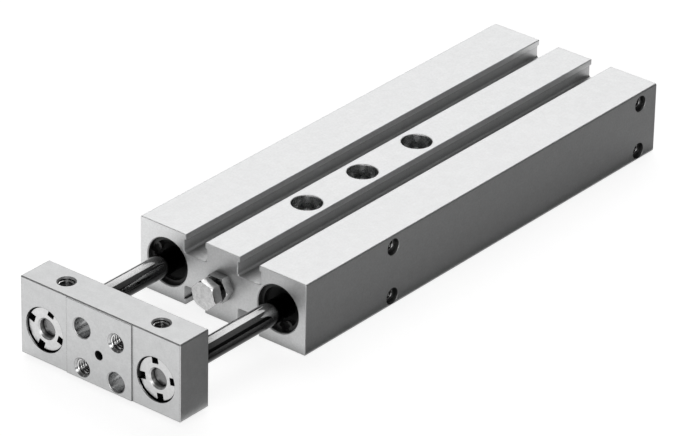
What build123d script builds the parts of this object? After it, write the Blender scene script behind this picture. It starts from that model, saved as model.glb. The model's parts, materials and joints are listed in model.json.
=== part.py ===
from build123d import *
import math
import os

os.makedirs("parts", exist_ok=True)

# Double piston cylinder, millimetres
# X runs across the two rods, +Y from the yoke plate to the rear end caps, +Z up.
# The origin is the centre of the three mounting holes, on the underside of the housing.

# Housing profile: walls are measured from the bores' mouths, 54 x 20 overall
side_wall = 2.5
floor_wall = 3.5
rod_spacing = 36.0
body_edge_radius = 0.5
end_edge_chamfer = 0.15
rail_width = 11.2
slot_mouth = 6.3
slot_undercut = 0.55
slot_lip = 1.6
slot_depth = 5.4
slot_corner_radius = 0.7
slot_brim_radius = 0.25

# Mounting holes in the centre rail
mount_pitch = 22.0
mount_count = 3
mount_setback = 54.5
mount_hole = 4.5
mount_recess = 8.0
mount_recess_depth = 5.0
mount_chamfer = 0.2

# Threaded holes in the side walls
side_thread = 3.3
side_relief = 4.5
side_relief_depth = 1.6
side_depth = 4.6
side_front_setback = 33.8
side_rear_setback = 7.0
side_upper_rise = 6.6
side_lower_drop = 7.4
side_chamfer = 0.1

# Air ports and the channel that joins the two bores
port_thread = 4.2
port_depth = 2.9
port_chamfer = 0.4
port_margin = 0.3
channel_diameter = 2.0

# Guide and bearing cap at the front of each bore
stroke = 50.0
piston_bore = 10.0
rod_diameter = 6.0
guide_bore = 12.0
mouth_bore = 13.0
mouth_chamfer = 0.3
groove_step = 0.8
clip_setback = 1.3
clip_thickness = 1.0
clip_play = 0.1
wiper_length = 2.6
wiper_mouth = 1.6
wiper_relief = 0.5
bushing_length = 35.0
carrier_length = 8.0
nose_length = 3.0
nose_diameter = 8.4
cap_length = 8.0
rear_setback = 0.7

# Ball circuit of the linear bushing
ball_diameter = 1.5
ball_play = 0.02
ball_pitch = 1.7
ball_count = 5
ball_rows = 4
cage_flange = 1.2
cage_bore_play = 0.15
cage_play = 0.05

# Piston with its magnet, seals and buffers
piston_front_length = 11.0
magnet_length = 5.0
piston_rear_length = 11.0
piston_play = 0.1
piston_web = 0.55
magnet_rim = 0.4
buffer_length = 1.5
buffer_rim = 0.4
end_play = 0.1
stud_diameter = 4.0
seal_width = 2.0
seal_depth = 1.3
seal_setback = 2.5
guide_ring_setback = 1.25
guide_ring_width = 2.4
guide_ring_depth = 0.8
nut_flats = 6.0
nut_height = 2.2
nut_pocket = 7.4

# Seals in general
seal_gap = 0.03
running_gap = 0.05
seat_gap = 0.02
o_ring_section = 1.0
o_ring_groove = 1.5
o_ring_depth = 1.05
o_ring_setback = 0.9
rod_seal_pocket = 3.5
rod_seal_radius = 4.4
rod_seal_setback = 3.0
rod_seal_lip = 0.35

# Yoke plate, 51.6 wide
yoke_wall = 1.75
yoke_height = 21.5
yoke_thickness = 10.4
yoke_underside = 0.9
yoke_gap = 34.8
yoke_chamfer = 0.25
pad_width = 21.0
pad_height = 0.3
yoke_recess = 12.1
yoke_recess_depth = 3.3
rod_seat_depth = 1.5
rod_tip = 5.0
rod_tip_setback = 1.6
top_thread = 4.2
top_thread_depth = 8.0
top_thread_spacing = 30.6
top_chamfer = 0.4
pattern_pitch = 11.0
pattern_height = 9.9
plain_hole = 5.3
plain_chamfer = 0.25
front_thread = 4.2
front_chamfer = 0.5
centre_hole = 2.5
centre_hole_depth = 4.0

# Slotted ring nuts
ring_diameter = 11.3
ring_thickness = 2.6
ring_notch = 2.0
ring_notch_depth = 1.6
ring_chamfer = 0.25
ring_mouth_chamfer = 0.45
ring_turns = {"left": -19.0, "right": 10.0}

# Stop screw and lock nut
screw_diameter = 4.0
hex_flats = 7.0
head_height = 2.8
head_setback = 7.2
lock_nut_height = 2.8
screw_reach = 9.0
screw_hole_depth = 12.0
hex_chamfer = 0.35
head_turn = -15.0
lock_turn = 0.0

# Circlips: bore they sit in, angle of the gap seen from the yoke
clip_radial = 1.0
lug_hole = 1.0
lug_size = 2.4
lug_spread = 15.0
clip_gap = 2.5
front_gap_angles = {"left": 163.0, "right": -75.0}
rear_gap_angle = 90.0

# Places that follow from the sizes above
body_width = rod_spacing + mouth_bore + 2 * side_wall
body_height = mouth_bore + 2 * floor_wall
slot_spacing = rail_width + slot_mouth
slot_width = slot_mouth + 2 * slot_undercut
yoke_width = rod_spacing + yoke_recess + 2 * yoke_wall
rod_height = body_height / 2
front_face = -mount_setback
groove_width = clip_thickness + clip_play
wiper_start = clip_setback + groove_width
bushing_start = wiper_start + wiper_length
carrier_start = bushing_start + bushing_length
bore_start = carrier_start + carrier_length
chamber_start = bore_start + nose_length
piston_length = piston_front_length + magnet_length + piston_rear_length
slug_length = piston_length + 2 * buffer_length
chamber_end = chamber_start + stroke + slug_length + 2 * end_play
cap_start = chamber_end + nose_length
rear_clip_start = cap_start + cap_length
body_length = rear_clip_start + groove_width + rear_setback
retract_travel = yoke_gap - head_setback - running_gap
slug_start = chamber_end - end_play - retract_travel - slug_length
piston_start = slug_start + buffer_length
yoke_front = -yoke_gap - yoke_thickness
groove_bore = mouth_bore + groove_step
rear_groove_bore = guide_bore + groove_step
sides = {"left": -rod_spacing / 2, "right": rod_spacing / 2}


def facing(setback, x=0.0, z=0.0, turn=0.0):
    """Plane that faces the yoke side, so many millimetres behind the housing's front face."""
    across = (math.cos(math.radians(turn)), 0, math.sin(math.radians(turn)))
    return Plane(origin=(x, front_face + setback, z), x_dir=across, z_dir=(0, -1, 0))


def lengthwise(setback, x):
    """Plane through a rod axis: its X runs to the rear, its Y away from the axis."""
    return Plane(origin=(x, front_face + setback, rod_height), x_dir=(0, 1, 0), z_dir=(0, 0, 1))


def rod_axis(x):
    """Centre line of one rod and its bore, towards the rear."""
    return Axis((x, front_face, rod_height), (0, 1, 0))


def turned(setback, x, points):
    """Piece turned on a rod axis from a closed half outline of (distance, radius) points."""
    with BuildPart() as piece:
        with BuildSketch(lengthwise(setback, x)):
            with BuildLine():
                Polyline(*points, close=True)
            make_face()
        revolve(axis=rod_axis(x))
    return piece


def o_ring(setback, x, bore):
    """Ring of rounded section that lies in an outer groove and just clears the bore."""
    middle = bore / 2 - seal_gap - o_ring_section / 2
    with BuildPart() as ring:
        with BuildSketch(lengthwise(setback, x)):
            with Locations((0, middle)):
                RegularPolygon(o_ring_section / 2, 8)
        revolve(axis=rod_axis(x))
    return ring


def internal_circlip(setback, x, groove, bore, gap_angle):
    """Sprung retaining ring with two drilled lugs that reach inwards beside its gap."""
    outer = groove / 2 - seal_gap
    inner = bore / 2 - clip_radial
    eye = inner - lug_hole / 2
    with BuildPart() as clip:
        with BuildSketch(facing(setback, x, rod_height, gap_angle)):
            Circle(outer)
            Circle(inner, mode=Mode.SUBTRACT)
            with PolarLocations(eye, 2, start_angle=-lug_spread, angular_range=4 * lug_spread):
                Circle(lug_size / 2)
            with Locations((outer, 0)):
                Rectangle(2 * (outer - eye) + lug_size, clip_gap, mode=Mode.SUBTRACT)
            with PolarLocations(eye, 2, start_angle=-lug_spread, angular_range=4 * lug_spread):
                Circle(lug_hole / 2, mode=Mode.SUBTRACT)
        extrude(amount=-clip_thickness)
    return clip


def hex_blank(setback, flats, height, turn, bore=0.0):
    """Hexagon with its corners chamfered round the front face, as nuts and heads have."""
    corner = flats / math.sqrt(3)
    with BuildPart() as bar:
        with BuildSketch(facing(setback, 0, rod_height)):
            Circle(corner)
        extrude(amount=-height)
        chamfer(bar.faces().sort_by(Axis.Y)[0].edges(), hex_chamfer)
    with BuildPart() as blank:
        with BuildSketch(facing(setback, 0, rod_height, turn)):
            RegularPolygon(corner, 6)
            if bore > 0:
                Circle(bore / 2, mode=Mode.SUBTRACT)
        extrude(amount=-height)
        add(bar.part, mode=Mode.INTERSECT)
    return blank


def save(piece, name):
    """Names a finished piece and writes its STEP file."""
    piece.part.label = name
    export_step(piece.part, f"parts/{name}.step")


# Housing: an extruded section with four T-slots, bored from both ends
with BuildPart() as housing:
    with BuildSketch(facing(0, 0, rod_height)) as section:
        Rectangle(body_width, body_height)
        for level in (1, -1):
            mouth = level * (body_height - slot_depth) / 2
            hollow = level * (body_height - slot_depth - slot_lip) / 2
            with GridLocations(slot_spacing, 1, 2, 1):
                with Locations((0, mouth)):
                    Rectangle(slot_mouth, slot_depth, mode=Mode.SUBTRACT)
                with Locations((0, hollow)):
                    Rectangle(slot_width, slot_depth - slot_lip, mode=Mode.SUBTRACT)
        slot_floor = body_height / 2 - slot_depth
        corners = section.vertices()
        fillet(corners.filter_by(lambda v: abs(abs(v.Y) - slot_floor) < 0.01), slot_corner_radius)
        brims = section.vertices().filter_by(
            lambda v: abs(abs(v.Y) - body_height / 2) < 0.01 and abs(v.X) < body_width / 2 - 0.01
        )
        fillet(brims, slot_brim_radius)
        outer = section.vertices().filter_by(lambda v: abs(abs(v.X) - body_width / 2) < 0.01)
        fillet(outer, body_edge_radius)
    extrude(amount=-body_length)

    with BuildSketch(facing(0, 0, rod_height)):
        with GridLocations(rod_spacing, 1, 2, 1):
            Circle(piston_bore / 2)
    extrude(amount=-body_length, mode=Mode.SUBTRACT)
    with BuildSketch(facing(0, 0, rod_height)):
        with GridLocations(rod_spacing, 1, 2, 1):
            Circle(guide_bore / 2)
    extrude(amount=-bore_start, mode=Mode.SUBTRACT)
    with BuildSketch(facing(0, 0, rod_height)):
        with GridLocations(rod_spacing, 1, 2, 1):
            Circle(mouth_bore / 2)
    extrude(amount=-bushing_start, mode=Mode.SUBTRACT)
    with BuildSketch(facing(clip_setback, 0, rod_height)):
        with GridLocations(rod_spacing, 1, 2, 1):
            Circle(groove_bore / 2)
    extrude(amount=-groove_width, mode=Mode.SUBTRACT)
    with BuildSketch(facing(cap_start, 0, rod_height)):
        with GridLocations(rod_spacing, 1, 2, 1):
            Circle(guide_bore / 2)
    extrude(amount=cap_start - body_length, mode=Mode.SUBTRACT)
    with BuildSketch(facing(rear_clip_start, 0, rod_height)):
        with GridLocations(rod_spacing, 1, 2, 1):
            Circle(rear_groove_bore / 2)
    extrude(amount=-groove_width, mode=Mode.SUBTRACT)
    for index in (0, -1):
        end_face = housing.faces().sort_by(Axis.Y)[index]
        mouths = end_face.edges().filter_by(GeomType.CIRCLE).filter_by(lambda e: e.radius > piston_bore / 2)
        chamfer(mouths, mouth_chamfer)
        end_face = housing.faces().sort_by(Axis.Y)[index]
        chamfer(end_face.outer_wire().edges(), end_edge_chamfer)

    # Threaded hole of the stop screw, with its drill point
    with BuildSketch(facing(0, 0, rod_height)):
        Circle(screw_diameter / 2 + running_gap)
    extrude(amount=-screw_hole_depth, mode=Mode.SUBTRACT)

    # Mounting holes, recessed for screw heads
    with Locations(Plane.XY.offset(body_height)):
        with GridLocations(1, mount_pitch, 1, mount_count):
            CounterBoreHole(mount_hole / 2, mount_recess / 2, mount_recess_depth, body_height)
    for level, radius in ((body_height, mount_recess / 2), (0, mount_hole / 2)):
        rims = housing.edges().filter_by(GeomType.CIRCLE).filter_by(
            lambda e: abs(e.center().Z - level) < 0.01 and abs(e.radius - radius) < 0.01
        )
        chamfer(rims, mount_chamfer)

    # Threaded holes in both side walls
    side_holes = [
        (front_face + setback, height)
        for setback in (side_front_setback, body_length - side_rear_setback)
        for height in (rod_height + side_upper_rise, rod_height - side_lower_drop)
    ]
    for side in (1, -1):
        wall = Plane(origin=(side * body_width / 2, 0, 0), x_dir=(0, side, 0), z_dir=(side, 0, 0))
        with Locations(wall):
            with Locations(*[(side * y, z) for y, z in side_holes]):
                CounterBoreHole(side_thread / 2, side_relief / 2, side_relief_depth, side_depth)
    side_rims = housing.edges().filter_by(GeomType.CIRCLE).filter_by(
        lambda e: abs(abs(e.center().X) - body_width / 2) < 0.01
    )
    chamfer(side_rims, side_chamfer)

    # Air ports in the left wall, each leading into one end of both chambers
    left_wall = Plane(origin=(-body_width / 2, 0, rod_height), x_dir=(0, -1, 0), z_dir=(-1, 0, 0))
    port_inset = port_thread / 2 + port_margin
    port_places = [
        (-(front_face + bore_start + port_inset), 0),
        (-(front_face + cap_start - port_inset), 0),
    ]
    with Locations(left_wall):
        with Locations(*port_places):
            CounterBoreHole(
                channel_diameter / 2,
                port_thread / 2,
                port_depth,
                body_width / 2 + (rod_spacing - piston_bore) / 2 + channel_diameter / 2,
            )
    port_rims = housing.edges().filter_by(GeomType.CIRCLE).filter_by(
        lambda e: abs(e.center().X + body_width / 2) < 0.01 and abs(e.center().Z - rod_height) < 0.01
    )
    chamfer(port_rims, port_chamfer)
save(housing, "housing")

# Yoke plate: carries both rods and the tool
with BuildPart() as yoke:
    with BuildSketch(facing(yoke_front, 0, yoke_underside)):
        with Locations((0, yoke_height / 2)):
            Rectangle(yoke_width, yoke_height)
    extrude(amount=-yoke_thickness)
    chamfer(yoke.edges(), yoke_chamfer)
    with BuildSketch(facing(yoke_front - pad_height, 0, yoke_underside)):
        with Locations((0, yoke_height / 2)):
            Rectangle(pad_width, yoke_height - 2 * yoke_chamfer)
    extrude(amount=-yoke_thickness / 2)

    # Seats of the rods and of their ring nuts
    with BuildSketch(facing(yoke_front, 0, rod_height)):
        with GridLocations(rod_spacing, 1, 2, 1):
            Circle(rod_tip / 2 + running_gap)
    extrude(amount=-yoke_thickness, mode=Mode.SUBTRACT)
    with BuildSketch(facing(yoke_front, 0, rod_height)):
        with GridLocations(rod_spacing, 1, 2, 1):
            Circle(yoke_recess / 2)
    extrude(amount=-yoke_recess_depth, mode=Mode.SUBTRACT)
    with BuildSketch(facing(-yoke_gap, 0, rod_height)):
        with GridLocations(rod_spacing, 1, 2, 1):
            Circle(rod_diameter / 2 + seat_gap)
    extrude(amount=rod_seat_depth, mode=Mode.SUBTRACT)

    # Tool holes: two plain and two threaded, on a square, and a blind locating hole
    half = pattern_pitch / 2
    pad_face = facing(yoke_front - pad_height, 0, pattern_height)
    with Locations(pad_face):
        with Locations((-half, half), (half, -half)):
            CounterSinkHole(plain_hole / 2, plain_hole / 2 + plain_chamfer, yoke_thickness + pad_height, 90)
        with Locations((half, half), (-half, -half)):
            CounterSinkHole(front_thread / 2, front_thread / 2 + front_chamfer, yoke_thickness + pad_height, 90)
        Hole(centre_hole / 2, centre_hole_depth)

    # Threaded holes in the top edge
    with Locations(Plane(origin=(0, front_face + yoke_front + yoke_thickness / 2, yoke_underside + yoke_height))):
        with GridLocations(top_thread_spacing, 1, 2, 1):
            CounterSinkHole(top_thread / 2, top_thread / 2 + top_chamfer, top_thread_depth, 90)
save(yoke, "yoke")

# Stop screw that sets how far the yoke can retract
screw_head = hex_blank(-head_setback, hex_flats, head_height, head_turn)
with BuildPart() as stop_screw:
    add(screw_head.part)
    with BuildSketch(facing(-head_setback + head_height / 2, 0, rod_height)):
        Circle(screw_diameter / 2)
    extrude(amount=-(head_setback + screw_reach - head_height / 2))
    tip = stop_screw.faces().sort_by(Axis.Y)[-1]
    chamfer(tip.edges(), hex_chamfer)
save(stop_screw, "stop_screw")

# Lock nut that holds the stop screw against the housing
lock_nut = hex_blank(
    -lock_nut_height, hex_flats, lock_nut_height, lock_turn, screw_diameter + 2 * running_gap
)
save(lock_nut, "lock_nut")

sleeve_outer = guide_bore / 2 - seat_gap
ball_middle = rod_diameter / 2 + ball_play + ball_diameter / 2
raceway = ball_middle + ball_diameter / 2 + ball_play
cage_outer = raceway - cage_play
cage_inner = rod_diameter / 2 + cage_bore_play
ball_run = (ball_count - 1) * ball_pitch
row_start = (bushing_length - ball_run) / 2

for side, x in sides.items():
    # Front circlip and wiper ring, seen in the mouth of the bore
    save(
        internal_circlip(clip_setback, x, groove_bore, mouth_bore, front_gap_angles[side]),
        f"front_circlip_{side}",
    )
    wiper_bore = rod_diameter / 2 + seal_gap
    wiper = turned(
        wiper_start,
        x,
        [
            (0, wiper_bore + wiper_mouth),
            (0, mouth_bore / 2 - seat_gap),
            (wiper_length, mouth_bore / 2 - seat_gap),
            (wiper_length, wiper_bore + wiper_relief),
            (wiper_length / 2, wiper_bore + wiper_relief),
            (wiper_length / 3, wiper_bore),
        ],
    )
    save(wiper, f"wiper_{side}")

    # Linear ball bushing: hardened sleeve, slotted cage and its rows of balls
    sleeve = turned(
        bushing_start,
        x,
        [(0, raceway), (0, sleeve_outer), (bushing_length, sleeve_outer), (bushing_length, raceway)],
    )
    save(sleeve, f"bushing_sleeve_{side}")

    with BuildPart() as cage:
        with BuildSketch(facing(bushing_start, x, rod_height)):
            Circle(cage_outer)
            Circle(cage_inner, mode=Mode.SUBTRACT)
        extrude(amount=-bushing_length)
        with BuildSketch(lengthwise(bushing_start + bushing_length / 2, x)):
            SlotOverall(ball_run + ball_diameter + 2 * ball_play, ball_diameter + 2 * ball_play)
        window = extrude(amount=guide_bore / 2, mode=Mode.PRIVATE)
        for row in range(ball_rows):
            add(window.rotate(rod_axis(x), row * 360 / ball_rows), mode=Mode.SUBTRACT)
    save(cage, f"ball_cage_{side}")

    with BuildPart() as balls:
        for row in range(ball_rows):
            turn = math.radians(row * 360 / ball_rows)
            places = [
                (
                    x + ball_middle * math.sin(turn),
                    front_face + bushing_start + row_start + index * ball_pitch,
                    rod_height + ball_middle * math.cos(turn),
                )
                for index in range(ball_count)
            ]
            with Locations(*places):
                Sphere(ball_diameter / 2)
    save(balls, f"guide_balls_{side}")

    # Bearing cap with the rod seal inside and an O-ring outside
    o_ring_floor = guide_bore / 2 - o_ring_depth
    carrier_bore = rod_diameter / 2 + cage_bore_play
    carrier = turned(
        carrier_start,
        x,
        [
            (0, carrier_bore),
            (0, sleeve_outer),
            (o_ring_setback, sleeve_outer),
            (o_ring_setback, o_ring_floor),
            (o_ring_setback + o_ring_groove, o_ring_floor),
            (o_ring_setback + o_ring_groove, sleeve_outer),
            (carrier_length, sleeve_outer),
            (carrier_length, nose_diameter / 2),
            (carrier_length + nose_length, nose_diameter / 2),
            (carrier_length + nose_length, carrier_bore),
            (rod_seal_setback + rod_seal_pocket, carrier_bore),
            (rod_seal_setback + rod_seal_pocket, rod_seal_radius),
            (rod_seal_setback, rod_seal_radius),
            (rod_seal_setback, carrier_bore),
        ],
    )
    save(carrier, f"bearing_cap_{side}")
    save(o_ring(carrier_start + o_ring_setback + o_ring_groove / 2, x, guide_bore), f"bearing_cap_o_ring_{side}")
    lip = rod_diameter / 2 + seal_gap
    heel = rod_seal_radius - seat_gap
    rod_seal = turned(
        carrier_start + rod_seal_setback,
        x,
        [
            (seat_gap, lip + rod_seal_lip),
            (seat_gap, heel),
            (rod_seal_pocket - seat_gap, heel),
            (rod_seal_pocket - seat_gap, heel - rod_seal_lip),
            (rod_seal_pocket / 2, (heel + lip) / 2),
            (rod_seal_pocket - seat_gap, lip + rod_seal_lip),
            (rod_seal_pocket - seat_gap, lip),
        ],
    )
    save(rod_seal, f"rod_seal_{side}")

    # Piston rod, shouldered at both ends
    rod_front = yoke_front + yoke_recess_depth - ring_thickness + rod_tip_setback
    rod_seat = -yoke_gap - rod_seat_depth
    with BuildPart() as rod:
        with BuildSketch(facing(rod_seat, x, rod_height)):
            Circle(rod_diameter / 2)
        extrude(amount=rod_seat - piston_start)
        with BuildSketch(facing(rod_front, x, rod_height)):
            Circle(rod_tip / 2)
        extrude(amount=rod_front - rod_seat)
        chamfer(rod.faces().sort_by(Axis.Y)[0].edges(), ring_chamfer)
        with BuildSketch(facing(piston_start, x, rod_height)):
            Circle(stud_diameter / 2)
        extrude(amount=-(piston_length - ring_chamfer))
        chamfer(rod.faces().sort_by(Axis.Y)[-1].edges(), ring_chamfer)
    save(rod, f"piston_rod_{side}")

    # Slotted ring nut that clamps the rod in the yoke
    with BuildPart() as ring_nut:
        with BuildSketch(facing(yoke_front + yoke_recess_depth - ring_thickness, x, rod_height, ring_turns[side])):
            Circle(ring_diameter / 2)
            Circle(rod_tip / 2 + seat_gap, mode=Mode.SUBTRACT)
            with PolarLocations(ring_diameter / 2 - ring_notch_depth / 2, 4):
                Rectangle(ring_notch_depth + ring_chamfer, ring_notch, mode=Mode.SUBTRACT)
        extrude(amount=-ring_thickness)
        nut_face = ring_nut.faces().sort_by(Axis.Y)[0]
        bore_rim = nut_face.edges().filter_by(GeomType.CIRCLE).sort_by(SortBy.RADIUS)[0]
        chamfer(bore_rim, ring_mouth_chamfer)
    save(ring_nut, f"ring_nut_{side}")

    # Piston halves with seal grooves, the magnet between them
    piston_radius = piston_bore / 2 - piston_play
    stud_bore = stud_diameter / 2 + seat_gap
    groove_floor = piston_radius - seal_depth
    front_half = turned(
        piston_start,
        x,
        [
            (0, stud_bore),
            (0, piston_radius),
            (seal_setback, piston_radius),
            (seal_setback, groove_floor),
            (seal_setback + seal_width, groove_floor),
            (seal_setback + seal_width, piston_radius),
            (piston_front_length, piston_radius),
            (piston_front_length, stud_bore),
        ],
    )
    save(front_half, f"piston_front_{side}")
    magnet_start = piston_start + piston_front_length
    magnet = turned(
        magnet_start,
        x,
        [
            (0, stud_bore),
            (0, piston_radius - magnet_rim),
            (magnet_length, piston_radius - magnet_rim),
            (magnet_length, stud_bore),
        ],
    )
    save(magnet, f"magnet_{side}")
    rear_half_start = magnet_start + magnet_length
    ring_start = guide_ring_setback
    seal_start = piston_rear_length - seal_setback - seal_width
    ring_floor = piston_radius - guide_ring_depth
    rear_groove_floor = groove_floor + piston_web
    pocket_start = piston_rear_length - nut_height
    rear_half = turned(
        rear_half_start,
        x,
        [
            (0, stud_bore),
            (0, piston_radius),
            (ring_start, piston_radius),
            (ring_start, ring_floor),
            (ring_start + guide_ring_width, ring_floor),
            (ring_start + guide_ring_width, piston_radius),
            (seal_start, piston_radius),
            (seal_start, rear_groove_floor),
            (seal_start + seal_width, rear_groove_floor),
            (seal_start + seal_width, piston_radius),
            (piston_rear_length, piston_radius),
            (piston_rear_length, nut_pocket / 2),
            (pocket_start, nut_pocket / 2),
            (pocket_start, stud_bore),
        ],
    )
    save(rear_half, f"piston_rear_{side}")
    seal_seats = [
        (piston_start + seal_setback, groove_floor),
        (rear_half_start + seal_start, rear_groove_floor),
    ]
    with BuildPart() as seals:
        for start, floor in seal_seats:
            with BuildSketch(lengthwise(start, x)):
                with BuildLine():
                    Polyline(
                        (seat_gap, floor + seat_gap),
                        (seat_gap, piston_radius),
                        (seal_width / 3, piston_bore / 2 - seal_gap),
                        (seal_width * 2 / 3, piston_bore / 2 - seal_gap),
                        (seal_width - seat_gap, piston_radius),
                        (seal_width - seat_gap, floor + seat_gap),
                        close=True,
                    )
                make_face()
            revolve(axis=rod_axis(x))
    save(seals, f"piston_seals_{side}")
    guide_ring = turned(
        rear_half_start + ring_start,
        x,
        [
            (seat_gap, ring_floor + seat_gap),
            (seat_gap, piston_bore / 2 - seal_gap),
            (guide_ring_width - seat_gap, piston_bore / 2 - seal_gap),
            (guide_ring_width - seat_gap, ring_floor + seat_gap),
        ],
    )
    save(guide_ring, f"guide_ring_{side}")

    # Nut on the rod's rear stud, sunk in the piston
    with BuildPart() as piston_nut:
        with BuildSketch(facing(rear_half_start + pocket_start, x, rod_height)):
            RegularPolygon(nut_flats / math.sqrt(3), 6)
            Circle(stud_diameter / 2 + seat_gap, mode=Mode.SUBTRACT)
        extrude(amount=-nut_height)
    save(piston_nut, f"piston_nut_{side}")

    # Elastic buffers on both faces of the piston
    buffer_radius = piston_radius - buffer_rim
    front_buffer = turned(
        slug_start,
        x,
        [
            (0, rod_diameter / 2 + seat_gap + buffer_rim),
            (0, buffer_radius - buffer_rim),
            (buffer_rim, buffer_radius),
            (buffer_length, buffer_radius),
            (buffer_length, rod_diameter / 2 + seat_gap),
            (buffer_rim, rod_diameter / 2 + seat_gap),
        ],
    )
    save(front_buffer, f"front_buffer_{side}")
    rear_buffer = turned(
        piston_start + piston_length,
        x,
        [
            (0, stud_diameter / 2 + seat_gap),
            (0, buffer_radius),
            (buffer_length - buffer_rim, buffer_radius),
            (buffer_length, buffer_radius - buffer_rim),
            (buffer_length, stud_diameter / 2 + seat_gap),
        ],
    )
    save(rear_buffer, f"rear_buffer_{side}")

    # Rear end cap with a drawing thread, its O-ring and its circlip
    with BuildPart() as end_cap:
        with BuildSketch(lengthwise(cap_start, x)):
            with BuildLine():
                Polyline(
                    (-nose_length, 0),
                    (-nose_length, nose_diameter / 2),
                    (0, nose_diameter / 2),
                    (0, sleeve_outer),
                    (o_ring_setback, sleeve_outer),
                    (o_ring_setback, o_ring_floor),
                    (o_ring_setback + o_ring_groove, o_ring_floor),
                    (o_ring_setback + o_ring_groove, sleeve_outer),
                    (cap_length, sleeve_outer),
                    (cap_length, 0),
                    close=True,
                )
            make_face()
        revolve(axis=rod_axis(x))
        with BuildSketch(facing(cap_start + cap_length, x, rod_height)):
            Circle(centre_hole / 2)
        extrude(amount=centre_hole_depth, mode=Mode.SUBTRACT)
    save(end_cap, f"end_cap_{side}")
    save(o_ring(cap_start + o_ring_setback + o_ring_groove / 2, x, guide_bore), f"end_cap_o_ring_{side}")
    save(
        internal_circlip(rear_clip_start, x, rear_groove_bore, guide_bore, rear_gap_angle),
        f"rear_circlip_{side}",
    )
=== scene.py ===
# %% [markdown]
# # Double piston cylinder: looks
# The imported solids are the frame. This script dresses them: matt anodised aluminium, ground and
# polished rods, blackened circlips and rubber wipers, and it cuts the screw threads that the solids
# leave as plain walls. All lengths are metres, X across the rods, +Y to the rear, +Z up.

# %% Load the frame
import json
import math
import bpy
from mathutils import Matrix, Vector


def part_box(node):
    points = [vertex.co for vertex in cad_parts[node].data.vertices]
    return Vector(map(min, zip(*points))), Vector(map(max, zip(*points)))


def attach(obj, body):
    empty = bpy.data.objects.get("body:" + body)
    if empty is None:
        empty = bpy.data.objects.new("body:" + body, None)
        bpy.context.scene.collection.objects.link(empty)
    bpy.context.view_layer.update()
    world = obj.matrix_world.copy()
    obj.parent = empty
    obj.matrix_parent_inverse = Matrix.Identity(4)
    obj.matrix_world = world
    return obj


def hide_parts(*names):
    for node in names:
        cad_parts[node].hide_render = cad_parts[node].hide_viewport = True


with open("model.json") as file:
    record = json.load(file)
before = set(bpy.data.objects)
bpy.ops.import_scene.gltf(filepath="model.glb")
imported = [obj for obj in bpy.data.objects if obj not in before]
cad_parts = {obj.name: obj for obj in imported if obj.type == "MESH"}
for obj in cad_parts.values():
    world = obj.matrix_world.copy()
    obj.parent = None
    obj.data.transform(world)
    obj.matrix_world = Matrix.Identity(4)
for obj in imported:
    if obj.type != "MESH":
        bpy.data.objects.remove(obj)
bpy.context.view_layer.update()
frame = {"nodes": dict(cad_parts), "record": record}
nodes = frame["nodes"]
MM = 0.001

# %% [markdown]
# ## Camera
# A camera fitted to the photograph's straight edges stands to the front right of the cylinder, 39
# degrees round from the yoke's side and 29 degrees up, with a long lens and a slight roll. Its
# distance is measured from the middle mounting hole, the frame's origin.

# %% Camera from azimuth, elevation and distance
MIDDLE_HOLE = Vector((0, 0, 0))
AZIMUTH = math.radians(39.008)
ELEVATION = math.radians(28.637)
ROLL = math.radians(1.090)
CAMERA_PLACE = Vector((0.68285, -0.85189, 0.60263))
LENS = 258.41
SENSOR = 36.0


def add_camera():
    """Camera at its fitted place, turned by azimuth, elevation and roll."""
    data = bpy.data.cameras.new("photo_camera")
    data.sensor_width = SENSOR
    data.lens = LENS
    data.clip_start = 0.05
    data.clip_end = 20
    camera = bpy.data.objects.new("photo_camera", data)
    bpy.context.scene.collection.objects.link(camera)
    turn = Matrix.Rotation(AZIMUTH, 4, "Z") @ Matrix.Rotation(math.pi / 2 - ELEVATION, 4, "X")
    camera.matrix_world = Matrix.Translation(CAMERA_PLACE) @ turn @ Matrix.Rotation(ROLL, 4, "Z")
    bpy.context.scene.camera = camera
    return camera


camera = add_camera()
distance = (CAMERA_PLACE - MIDDLE_HOLE).length
frame_width = distance * SENSOR / LENS
print("camera:", round(distance, 3), "m away,", round(frame_width / MM, 1), "mm wide frame")

# %% [markdown]
# ## Floor and cards
# The floor's whiteness is its own colour: it glows for the camera, for gloss and for transmission,
# and stays a plain diffuse floor for everything else, so that the object keeps a soft shadow on it.
# Near the object the glow is weaker: a painted shadow from ambient occlusion, as on a real floor
# that the object shades. Bare metal takes its tone from what it mirrors, so a grey card lies beside
# the right wall and black cards stand behind: the right walls and the undersides of the rods mirror
# them and turn dark. Only gloss sees the cards.

# %% Floor and cards
FLOOR_SIZE = 6.0
FLOOR_GAP = 0.1 * MM
FLOOR_GLOW = 0.86
FLOOR_ALBEDO = 0.5
SHADE_REACH = 50.0 * MM
SHADE_CLOSED = 0.3
SHADE_FLOOR = 0.6
CAMERA_SHADE = 0.95
GREY_CARD = 0.42
BLACK_CARD = 0.03


def new_material(name):
    """Empty node material with its output and a Principled shader."""
    material = bpy.data.materials.new(name)
    material.use_nodes = True
    tree = material.node_tree
    return material, tree, tree.nodes["Principled BSDF"], tree.nodes["Material Output"]


def link(tree, source, target):
    tree.links.new(source, target)


def math_node(tree, operation, first, second=None):
    """Math node whose inputs are sockets or plain numbers."""
    node = tree.nodes.new("ShaderNodeMath")
    node.operation = operation
    for index, value in enumerate((first, second)):
        if value is None:
            continue
        if isinstance(value, (int, float)):
            node.inputs[index].default_value = value
        else:
            link(tree, value, node.inputs[index])
    return node.outputs[0]


def flat_mesh(name, corners):
    """One flat face from its corners."""
    mesh = bpy.data.meshes.new(name)
    mesh.from_pydata(corners, [], [tuple(range(len(corners)))])
    piece = bpy.data.objects.new(name, mesh)
    bpy.context.scene.collection.objects.link(piece)
    return piece


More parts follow.
